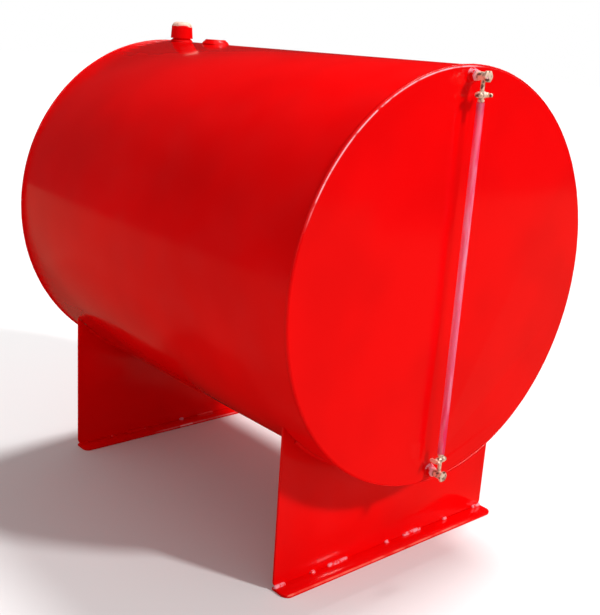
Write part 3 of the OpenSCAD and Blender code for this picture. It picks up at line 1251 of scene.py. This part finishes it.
@dataclass
class LevelGauge:
    """The clear hose and its two plug cocks with turning keys."""

    finishes: Finishes
    cast_edge: float = 0.7 * MM
    turned_edge: float = 0.35 * MM
    boss_radius: float = 11 * MM
    boss_fillet: float = 3 * MM

    def build(self) -> None:
        """Builds both cocks and the hose between them."""
        for end, key_body in (("upper", Body.UPPER_KEY), ("lower", Body.LOWER_KEY)):
            self.cock(end, key_body)
        hose = copy_of_node("sight_hose", self.turned_edge)
        dress_piece(hose, self.finishes.hose, Slot.HOSE, Body.TANK, "sight_hose")

    def cock(self, end: str, key_body: Body) -> None:
        """Builds one cock with its boss, nipple, key and hose tail.

        Args:
            end: Which cock: upper or lower.
            key_body: The body that its key turns with.
        """
        boss = copy_of_node(f"{end}_boss", self.turned_edge)
        finish = getattr(self.finishes, f"{end}_boss")
        dress_piece(boss, finish, Slot.TANK, Body.TANK, f"{end}_boss")
        for part in ("nipple", "cock", "plug", "hose_tail", "key", "key_nut"):
            node = f"{end}_{part}"
            piece = copy_of_node(node, self.cast_edge if part == "cock" else self.turned_edge)
            body = key_body if part.startswith("key") else Body.TANK
            dress_piece(piece, self.finishes.brass, Slot.GAUGE, body, node)
        self.boss_bead(end)

    def boss_bead(self, end: str) -> None:
        """Lays the small fillet between one boss and the end plate.

        Args:
            end: Which cock: upper or lower.
        """
        low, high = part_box(f"{end}_boss")
        middle = (low + high) / 2
        bead = WeldBead(
            ripple=2.6 * MM, ripple_height=0.3 * MM, wander=0.3 * MM, seed=41
        ).collar(
            f"{end}_boss_weld_bead", Vector((middle.x, high.y, middle.z)), ALONG,
            self.boss_radius, self.boss_fillet,
        )
        finish = getattr(self.finishes, f"{end}_boss")
        dress_piece(bead, finish, Slot.WELD, Body.TANK, f"{end}_boss_weld")


# ---- The studio ----


@dataclass
class Studio:
    """A pale floor, soft light from the right and above, and the camera."""

    floor_size: float = 60.0
    floor_colour: str = "#e6e6e6"
    floor_bounce: str = "#c8c4c0"
    floor_roughness: float = 0.9
    flag_radius: float = 9.0
    flag_height: float = 60.0
    front_flag_height: float = 3.0
    front_flag_from: float = 0.9
    cloth_height: float = 1 * MM
    flag_colour: str = "#303030"
    cloth_colour: str = "#6a5446"
    sky_level: float = 0.44
    lamp_distance: float = 5.0
    key_level: float = 2.0
    key_from: tuple[float, float, float] = (0.33, -0.72, 0.60)
    key_softness: float = math.radians(6)
    top_level: float = 2.55
    top_from: tuple[float, float, float] = (0.42, 0.10, 0.86)
    top_softness: float = math.radians(16)
    camera_place: tuple[float, float, float] = (-1.34859, -1.58157, 1.01944)
    camera_towards: tuple[float, float, float] = (0.635714, 0.722070, -0.272915)
    camera_roll: float = math.radians(3.78)
    lens: float = 55.3123
    sensor: float = 36.0

    def build(self) -> None:
        """Sets up the floor, the lights and the camera."""
        self.floor()
        self.flag()
        self.sky()
        self.lamp("key_light", self.key_from, self.key_level, self.key_softness)
        self.lamp("top_light", self.top_from, self.top_level, self.top_softness)
        self.camera()
        bpy.context.scene.view_settings.view_transform = "Standard"

    def seen(self, tree: Tree) -> Socket:
        """Adds a switch that is 1 for what the camera sees, directly or in gloss or glass.

        Args:
            tree: The node tree.

        Returns:
            The switch's value.
        """
        rays = add_node(tree, "LightPath").node.outputs
        seen = rays["Is Camera Ray"]
        for kind in ("Is Glossy Ray", "Is Transmission Ray"):
            seen = add_node(tree, "Math", {0: seen, 1: rays[kind]}, operation="MAXIMUM")
        return seen

    def floor(self) -> None:
        """Lays the pale floor."""
        floor = primitive("studio_floor", "plane", size=self.floor_size)
        material, tree, shader, _ = start_material("pale_studio_floor")
        colours = {
            0: self.seen(tree), 6: from_hex(self.floor_bounce), 7: from_hex(self.floor_colour)
        }
        feed(tree, shader, {
            "Base Color": add_node(tree, "Mix", colours, out=2),
            "Roughness": self.floor_roughness,
            "Specular IOR Level": 0.0,
        })
        floor.data.materials.append(material)

    def flag(self) -> None:
        """Stands a dark flag round the tank, low in front, and lays a brown cloth inside it.

        Only gloss sees them: they keep the white room out of the enamel's reflections.
        """
        middle = self.flag_height / 2
        flag = primitive(
            "studio_flag", "cylinder", vertices=96, radius=self.flag_radius,
            depth=self.flag_height, end_fill_type="NOTHING", location=(0, 0, middle),
        )
        with editing(flag, start="SELECT"):
            bpy.ops.mesh.normals_make_consistent(inside=True)
            pick(flag, lambda place, _: place.y < self.front_flag_from and place.z > middle)
            bpy.ops.transform.translate(value=(0, 0, self.front_flag_height - self.flag_height))
        self.for_gloss_only(flag, "matt_black_studio_flag", self.flag_colour)
        cloth = primitive(
            "studio_cloth", "circle", vertices=96, radius=self.flag_radius, fill_type="NGON",
            location=(0, 0, self.cloth_height),
        )
        self.for_gloss_only(cloth, "brown_studio_cloth", self.cloth_colour)

    def for_gloss_only(self, screen: Piece, name: str, colour: str) -> None:
        """Gives a screen a matt finish and hides it from all but the gloss.

        Args:
            screen: The flag or cloth.
            name: Its material's name.
            colour: Its colour.
        """
        material, tree, shader, _ = start_material(name)
        matt = {"Base Color": from_hex(colour), "Roughness": 1.0, "Specular IOR Level": 0.0}
        feed(tree, shader, matt)
        screen.data.materials.append(material)
        for kind in ("camera", "diffuse", "transmission", "shadow", "volume_scatter"):
            setattr(screen, f"visible_{kind}", False)

    def sky(self) -> None:
        """Fills the room with soft light, white where it is seen."""
        world = bpy.data.worlds.new("studio")
        world.use_nodes = True
        tree = world.node_tree
        levels = {0: self.seen(tree), 3: self.sky_level}
        feed(tree, tree.nodes["Background"], {
            "Color": WHITE, "Strength": add_node(tree, "MapRange", levels)
        })
        bpy.context.scene.world = world

    def lamp(
        self, name: str, towards: tuple[float, float, float], level: float, softness: float
    ) -> None:
        """Adds a far, soft lamp.

        Args:
            name: The lamp's name.
            towards: The way from the tank to the lamp.
            level: Its strength.
            softness: How wide it looks, as an angle.
        """
        bpy.ops.object.light_add(type="SUN", location=Vector(towards) * self.lamp_distance)
        lamp = bpy.context.object
        lamp.name = name
        lamp.data.energy = level
        lamp.data.angle = softness
        lamp.rotation_euler = Vector(towards).to_track_quat("Z", "Y").to_euler()

    def camera(self) -> None:
        """Sets up the camera."""
        ahead = Vector(self.camera_towards).normalized()
        level = ahead.cross(UP).normalized()
        up = level.cross(ahead)
        cos, sin = math.cos(self.camera_roll), math.sin(self.camera_roll)
        right, above = cos * level + sin * up, cos * up - sin * level
        turn = Matrix((right, above, -ahead)).transposed().to_4x4()
        bpy.ops.object.camera_add()
        camera = bpy.context.object
        camera.name = "view"
        camera.matrix_world = Matrix.Translation(self.camera_place) @ turn
        camera.data.lens = self.lens
        camera.data.sensor_fit = "AUTO"
        camera.data.sensor_width = self.sensor
        bpy.context.scene.camera = camera


def main() -> None:
    """Builds the studio and the tank."""
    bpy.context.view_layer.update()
    Studio().build()
    finishes = Finishes.make()
    for assembly in (
        TankBody(finishes), SaddleLegs(finishes), CrownFittings(finishes), LevelGauge(finishes)
    ):
        assembly.build()


if __name__ == "__main__":
    main()
